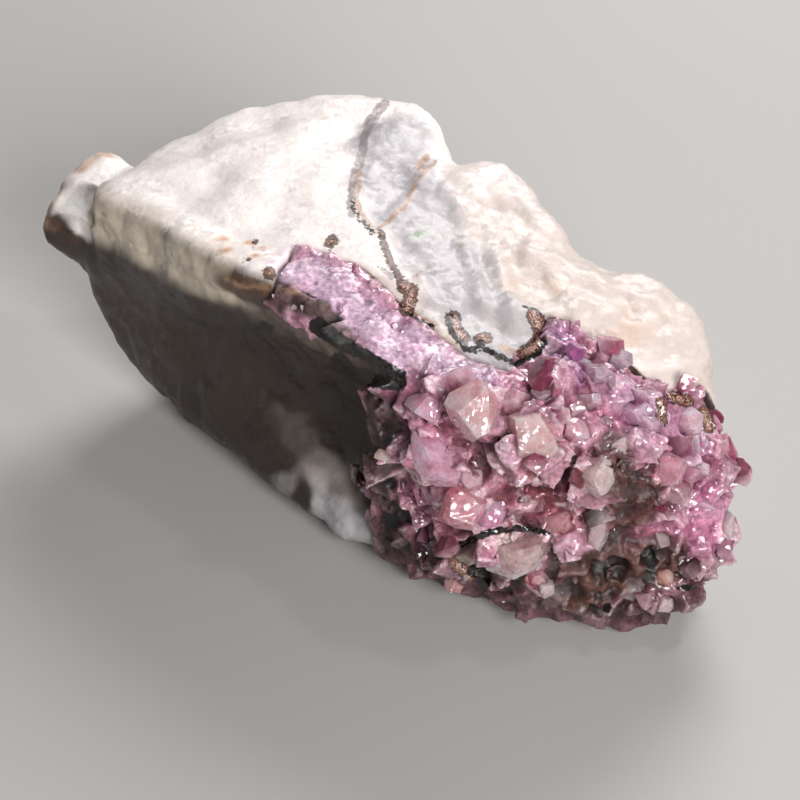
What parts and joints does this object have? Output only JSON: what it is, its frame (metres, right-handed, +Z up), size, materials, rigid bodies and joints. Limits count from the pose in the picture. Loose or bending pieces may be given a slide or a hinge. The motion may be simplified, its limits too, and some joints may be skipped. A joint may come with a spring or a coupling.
{
  "type": "cobaltoan calcite specimen",
  "caption": "Broken block of white calcite rock whose front end and upper edge carry a crust of pink cobaltoan calcite crystals; a mineral specimen that rests on a flat base.",
  "frame": {"origin": "centre of the resting face of the specimen's box, on the surface that it stands on", "axes": "+X along the block towards the pink crystal end, +Y towards the back, away from the overhanging shadowed wall, +Z up"},
  "size_m": [0.08, 0.0382, 0.0319],
  "materials": {
    "white_calcite": "broken sugary white calcite with grey, dark-veined and iron-stained patches, faintly translucent",
    "pink_calcite": "glassy mauve-pink crystals, partly clear, with smoky and peach ones between them"
  },
  "bodies": {
    "root": {"host_rock": "white_calcite", "pink_crystal_crust": "pink_calcite"}
  },
  "joints": []
}
